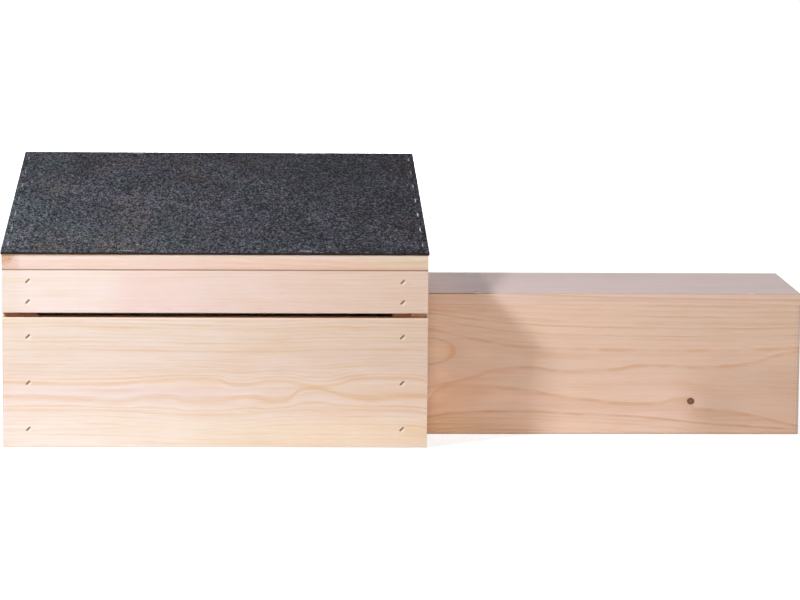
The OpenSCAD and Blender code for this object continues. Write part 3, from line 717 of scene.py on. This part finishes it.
woods = {
    "front_lower_board": pine(
        "pine_front_lower", ALONG_X, 3.0, PALE_PINE, lower_front_field,
        ring_depth=0.32, paint=lower_front_paint, streaks=1.4
    ),
    "front_upper_board": pine(
        "pine_front_upper", ALONG_X, 5.0, UPPER_PINE, upper_front_field,
        ring_depth=0.24, paint=upper_front_paint, streaks=1.4
    ),
    "back_lower_board": pine("pine_back_lower", ALONG_X, 11.0, PALE_PINE, log((75, 150), 5.0)),
    "back_upper_board": pine("pine_back_upper", ALONG_X, 13.0, PALE_PINE, log((150, 260), 4.0)),
    "left_lower_board": pine(
        "pine_left_lower", ALONG_Y, 17.0, PALE_PINE,
        log((60, -270), 5.5), paint=slot_shading(1, LEFT_END_SLOT_SHADING)
    ),
    "left_upper_board": pine(
        "pine_left_upper", ALONG_Y, 19.0, PALE_PINE,
        log((230, -290), 4.5), paint=slot_shading(1, LEFT_END_SLOT_SHADING)
    ),
    "right_lower_board": pine(
        "pine_right_lower", ALONG_Y, 23.0, PALE_PINE,
        log((90, 180), 4.5), paint=slot_shading(1, RIGHT_END_SLOT_SHADING)
    ),
    "right_upper_board": pine(
        "pine_right_upper", ALONG_Y, 29.0, PALE_PINE,
        log((170, 170), 5.5), paint=slot_shading(1, RIGHT_END_SLOT_SHADING)
    ),
    "floor_board_front": pine("pine_floor_front", FLAT_X, 31.0, INNER_PINE, log((-150, -50), 5.0)),
    "floor_board_middle": pine("pine_floor_middle", FLAT_X, 37.0, INNER_PINE, log((20, -35), 5.5)),
    "floor_board_back": pine("pine_floor_back", FLAT_X, 41.0, INNER_PINE, log((120, -60), 5.0)),
    "tunnel_front_board": pine(
        "pine_tunnel_front", ALONG_X, 43.0, TUNNEL_PINE, tunnel_front_field,
        ring_depth=0.50, paint=tunnel_front_paint, late_wood=TUNNEL_LATE, streaks=1.8
    ),
    "tunnel_back_board": pine("pine_tunnel_back", ALONG_X, 47.0, TUNNEL_PINE, log((60, 120), 5.5)),
    "tunnel_top_board": pine(
        "pine_tunnel_top", FLAT_X, 53.0, TUNNEL_PINE, tunnel_top_field,
        ring_depth=0.34, paint=tunnel_top_paint, late_wood=TUNNEL_LATE, streaks=1.5, bloom=0.10
    ),
    "lid_board_front": pine(
        "pine_lid_front", FLAT_X, 59.0, UPPER_PINE,
        log((-140, 150), 4.5), ring_depth=0.22, paint=lid_front_paint
    ),
    "lid_board_middle": pine("pine_lid_middle", FLAT_X, 61.0, PALE_PINE, log((10, 300), 5.5)),
    "lid_board_back": pine("pine_lid_back", FLAT_X, 67.0, PALE_PINE, log((160, 320), 5.0)),
    "lid_batten_left": pine("pine_batten_left", FLAT_Y, 71.0, INNER_PINE, log((-150, 140), 4.0)),
    "lid_batten_right": pine("pine_batten_right", FLAT_Y, 73.0, INNER_PINE, log((100, 150), 4.0)),
}
# The posts are cut from logs whose hearts lay beside them
POST_HEART_X = {"left": -215, "right": 180}
POST_HEART_Y = {"front": -160, "back": 215}
POST_SLOT_SHADING = {"left": LEFT_SLOT_SHADING, "right": RIGHT_SLOT_SHADING}
for end, heart_y in POST_HEART_Y.items():
    for side, heart_x in POST_HEART_X.items():
        name = f"post_{end}_{side}"
        woods[name] = pine(
            f"pine_{name}", ALONG_Z, 79.0 + heart_x, INNER_PINE,
            log((heart_x, heart_y), 3.5), paint=slot_shading(0, POST_SLOT_SHADING[side])
        )


# Felt
BARE_BITUMEN = rgb(0.004, 0.004, 0.005)
VIOLET_SLATE = rgb(0.173, 0.152, 0.187)
GREY_SLATE = rgb(0.157, 0.155, 0.168)
WORN_SLATE = rgb(0.36, 0.35, 0.36)
CUT_FELT = rgb(0.026, 0.014, 0.008)


def bitumen_felt():
    """Roofing felt: slate granules pressed into bitumen, with worn lighter grains."""
    g = Graph("bitumen_felt")
    spot = g.vector(*g.place())
    grains = g.axes(g.cells(g.scaled(spot, 0.72, 0.26, 0.72)))[0]
    fine = g.axes(g.cells(g.scaled(spot, 1.15, 0.50, 1.15)))[1]
    clump = g.noise(g.scaled(spot, 0.28, 0.12, 0.28), 2.0)
    wide = g.noise(g.scaled(spot, 0.018, 0.012, 0.018), 2.0)
    hue = g.noise(g.scaled(spot, 0.055, 0.03, 0.055), 1.0)
    level = g.plus(g.times(grains, 0.80), g.times(fine, 0.20))
    level = g.plus(level, g.sway(clump, 0.60))
    level = g.plus(level, g.sway(wide, 0.30))
    # Painted light and shade: lighter, with less contrast, at the left, and darker towards the
    # right
    x, y, _ = g.axes(spot)
    felt_shading = g.range(g.plus(x, g.times(y, 0.1)), -230, 230, smooth=False)
    level = g.minus(level, g.times(felt_shading, 0.06))
    contrast = g.range(felt_shading, 0, 1, 0.86, 1.08, smooth=False)
    level = g.plus(g.times(g.minus(level, 0.52), contrast), 0.52)
    grey = g.mix(g.range(hue, 0.38, 0.62), VIOLET_SLATE, GREY_SLATE)
    tint = g.mix(g.range(level, 0.26, 0.94, smooth=False), BARE_BITUMEN, grey)
    tint = g.mix(g.times(g.range(level, 0.84, 1.04), 0.7), tint, WORN_SLATE)
    # Greener and browner places among the violet grey
    place_hue = g.noise(g.scaled(spot, 0.016, 0.010, 0.016), 1.5)
    tint = g.tone(tint, g.range(place_hue, 0.36, 0.47, 1, 0), (0.95, 1.06, 0.98))
    tint = g.tone(tint, g.range(place_hue, 0.53, 0.64), (1.09, 1.0, 0.92))
    front = g.times(g.range(y, -60, -190), g.range(x, 60, -120))
    tint = g.tone(tint, front, (1.02, 1.03, 0.92))
    # Painted light across the middle and left of centre
    tint = g.tone(tint, g.band(g.minus(y, 16), 120, 120), (1.09, 1.10, 1.09))
    tint = g.tone(tint, g.patch(x, y, (-30, 10), (190, 150)), (1.09, 1.07, 1.06))
    # Painted shade towards the right
    tint = g.tone(tint, felt_shading, (0.775, 0.735, 0.785))
    # Brown where it is cut at the front
    tint = g.mix(g.times(g.facing(Y), 0.85), tint, CUT_FELT)
    height = g.plus(g.times(grains, 0.6), g.times(clump, 0.6))
    return g.finish(
        Base_Color=tint,
        Roughness=g.range(grains, 0, 1, 0.80, 1.0, smooth=False),
        Specular_IOR_Level=0.08,
        Normal=g.bump(height, 0.5, 0.0005),
    )


# Metal
def metal(name, colour, dull, roughness, blotch):
    """Plated steel with dull blotches, so many to the millimetre, and fine scratches."""
    g = Graph(name)
    spot = g.vector(*g.place())
    patches = g.noise(g.scaled(spot, blotch, blotch, blotch), 4.0, 0.6)
    scratches = g.noise(g.scaled(spot, 0.4, 6.0, 6.0), 2.0)
    tint = g.mix(g.range(patches, 0.35, 0.65), colour, dull)
    rough = g.range(patches, 0.35, 0.65, roughness - 0.08, roughness + 0.12)
    rough = g.plus(rough, g.times(scratches, 0.1))
    return g.finish(
        Base_Color=tint,
        Metallic=1.0,
        Roughness=rough,
        Normal=g.bump(scratches, 0.12, 0.0001),
    )


zinc = metal(
    "zinc_plating", rgb(0.50, 0.49, 0.46), rgb(0.34, 0.34, 0.33), roughness=0.38, blotch=0.35
)
coated_wire = metal(
    "coated_wire", rgb(0.20, 0.15, 0.10), rgb(0.12, 0.09, 0.06), roughness=0.50, blotch=0.8
)
# The felt's staples differ from each other: their blotches are wider than a staple
felt_wire = metal(
    "felt_staple_wire", rgb(0.42, 0.42, 0.43), rgb(0.19, 0.19, 0.20), roughness=0.55, blotch=0.02
)

# Dress the part
WOOD_STAPLES = ("front_staples", "back_staples", "left_staples", "right_staples", "tunnel_staples")
finishes = {name: (wood, "house_wood") for name, wood in woods.items()}
for name in woods:
    if name.startswith("tunnel"):
        finishes[name] = (woods[name], "tunnel_wood")
    elif name.startswith(("post", "floor", "lid_batten")):
        finishes[name] = (woods[name], "inner_wood")
finishes["roof_felt"] = (bitumen_felt(), "felt")
finishes["felt_staples"] = (felt_wire, "felt_staple_wire")
for name in WOOD_STAPLES:
    finishes[name] = (coated_wire, "staple_wire")
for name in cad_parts:
    if name.startswith("hinge") or name.endswith("screws"):
        finishes[name] = (zinc, "zinc_plated_steel")

for name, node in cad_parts.items():
    finish, slot = finishes[name]
    node.data.materials.clear()
    node.data.materials.append(finish)


# Floor and light
FLOOR_COLOUR = rgb(0.77, 0.80, 0.83)
FLOOR_GLOW = rgb(0.655, 0.68, 0.695)
WHITE = rgb(1.0, 1.0, 1.0)
OPEN_FLOOR = (900, 2600)


def seen_directly(tree):
    """1 for rays from the camera, in reflections and through glass, 0 for all others."""
    paths = tree.nodes.new("ShaderNodeLightPath")
    seen = paths.outputs["Is Camera Ray"]
    for ray in ("Is Glossy Ray", "Is Transmission Ray"):
        either = tree.nodes.new("ShaderNodeMath")
        either.operation = "MAXIMUM"
        tree.links.new(seen, either.inputs[0])
        tree.links.new(paths.outputs[ray], either.inputs[1])
        seen = either.outputs[0]
    return seen


def backdrop_material():
    """Plain white to the camera and in reflections, with a soft shadow on it.

    It glows less near the object, where the lamps light it, than on the open floor.
    """
    g = Graph("studio_floor")
    away = g.length(g.vector(*g.place()))
    pale = g.mix(g.range(away, *OPEN_FLOOR), FLOOR_GLOW, WHITE)
    inputs = {"Color": pale, "Strength": seen_directly(g.tree)}
    glow = g.add("ShaderNodeEmission", inputs)
    both = g.add("ShaderNodeAddShader", {0: g.surface.outputs[0], 1: glow})
    g.put(g.output.inputs["Surface"], both)
    return g.finish(Base_Color=FLOOR_COLOUR, Roughness=1.0, Specular_IOR_Level=0.0)


FLOOR_HALF = 40.0
FLOOR_DROP = 0.0002
floor_mesh = bpy.data.meshes.new("studio_floor")
corners = [(-1, -1), (1, -1), (1, 1), (-1, 1)]
spots = [(x * FLOOR_HALF, y * FLOOR_HALF, -FLOOR_DROP) for x, y in corners]
floor_mesh.from_pydata(spots, [], [(0, 1, 2, 3)])
floor_mesh.materials.append(backdrop_material())
floor = bpy.data.objects.new("studio_floor", floor_mesh)
bpy.context.scene.collection.objects.link(floor)


def lamp(name, spot, target, size, power, colour, mirrored=True):
    """A square softbox at spot that faces target, seen in reflections if mirrored."""
    data = bpy.data.lights.new(name, "AREA")
    data.shape = "SQUARE"
    data.size = size
    data.energy = power
    data.color = colour
    light = bpy.data.objects.new(name, data)
    light.location = spot
    light.rotation_euler = (Vector(target) - Vector(spot)).to_track_quat("-Z", "Y").to_euler()
    light.visible_camera = False
    light.visible_glossy = mirrored
    bpy.context.scene.collection.objects.link(light)


# The key stands to the left in front, where the nest box's shadow on the tunnel
# puts it. The others fill from the front and the back, and low from the sides
# that the key doesn't reach.
KEY_TARGET = (0.30, -0.12, 0.10)
KEY_AWAY = Vector((-1.427, -1.0, 1.31)).normalized()
KEY_DISTANCE = 1.3
key_spot = Vector(KEY_TARGET) + KEY_AWAY * KEY_DISTANCE
lamp("key", key_spot, KEY_TARGET, size=0.13, power=13.8, colour=(0.74, 0.88, 1.0))
lamp(
    "front_fill", spot=(0.3, -4.6, 1.2), target=(0.2, -0.1, 0.1),
    size=1.6, power=71, colour=(1.0, 0.88, 0.71)
)
lamp(
    "back_fill", spot=(0.8, 4.6, 2.0), target=(0.2, 0.0, 0.1),
    size=2.4, power=20, colour=(0.95, 0.97, 1.0)
)
lamp(
    "right_fill", spot=(3.4, 0.9, 0.5), target=(0.2, 0.1, 0.1),
    size=0.8, power=36, colour=(1.0, 0.95, 0.86), mirrored=False
)
lamp(
    "rear_fill", spot=(0.3, 3.8, 0.5), target=(0.1, 0.1, 0.1),
    size=0.8, power=50, colour=(1.0, 0.95, 0.88), mirrored=False
)

# World: white to the camera and in reflections, a weak pale light otherwise
AMBIENT_COLOUR = rgb(0.98, 0.99, 1.0)
AMBIENT_STRENGTH = 0.16
world = bpy.data.worlds.new("studio")
world.use_nodes = True
bpy.context.scene.world = world
tree = world.node_tree
tree.nodes.clear()
ambient = tree.nodes.new("ShaderNodeBackground")
ambient.inputs["Color"].default_value = AMBIENT_COLOUR
ambient.inputs["Strength"].default_value = AMBIENT_STRENGTH
white = tree.nodes.new("ShaderNodeBackground")
white.inputs["Color"].default_value = WHITE
white.inputs["Strength"].default_value = 1.0
choice = tree.nodes.new("ShaderNodeMixShader")
tree.links.new(seen_directly(tree), choice.inputs[0])
tree.links.new(ambient.outputs[0], choice.inputs[1])
tree.links.new(white.outputs[0], choice.inputs[2])
output = tree.nodes.new("ShaderNodeOutputWorld")
tree.links.new(choice.outputs[0], output.inputs["Surface"])

# Camera: place in metres, angles in radians, lens and sensor in millimetres
CAMERA_SPOT = (0.03958, -3.88380, 0.63639)
CAMERA_TURN = 0.0423
CAMERA_DOWN = 0.1291
CAMERA_ROLL = 0.0079
CAMERA_LENS = 157.63
SENSOR_WIDTH = 36.0
NEAREST = 0.1
FARTHEST = 200.0

forward = Vector((
    math.sin(CAMERA_TURN) * math.cos(CAMERA_DOWN),
    math.cos(CAMERA_TURN) * math.cos(CAMERA_DOWN),
    -math.sin(CAMERA_DOWN),
))
right = Vector((math.cos(CAMERA_TURN), -math.sin(CAMERA_TURN), 0.0))
up = right.cross(forward)
side = math.cos(CAMERA_ROLL) * right + math.sin(CAMERA_ROLL) * up
top = math.cos(CAMERA_ROLL) * up - math.sin(CAMERA_ROLL) * right
camera_data = bpy.data.cameras.new("photo_camera")
camera_data.lens = CAMERA_LENS
camera_data.sensor_width = SENSOR_WIDTH
camera_data.clip_start = NEAREST
camera_data.clip_end = FARTHEST
camera = bpy.data.objects.new("photo_camera", camera_data)
turned = Matrix((side, top, -forward)).transposed().to_4x4()
camera.matrix_world = Matrix.Translation(CAMERA_SPOT) @ turned
bpy.context.scene.collection.objects.link(camera)
bpy.context.scene.camera = camera
bpy.context.scene.view_settings.view_transform = "Standard"
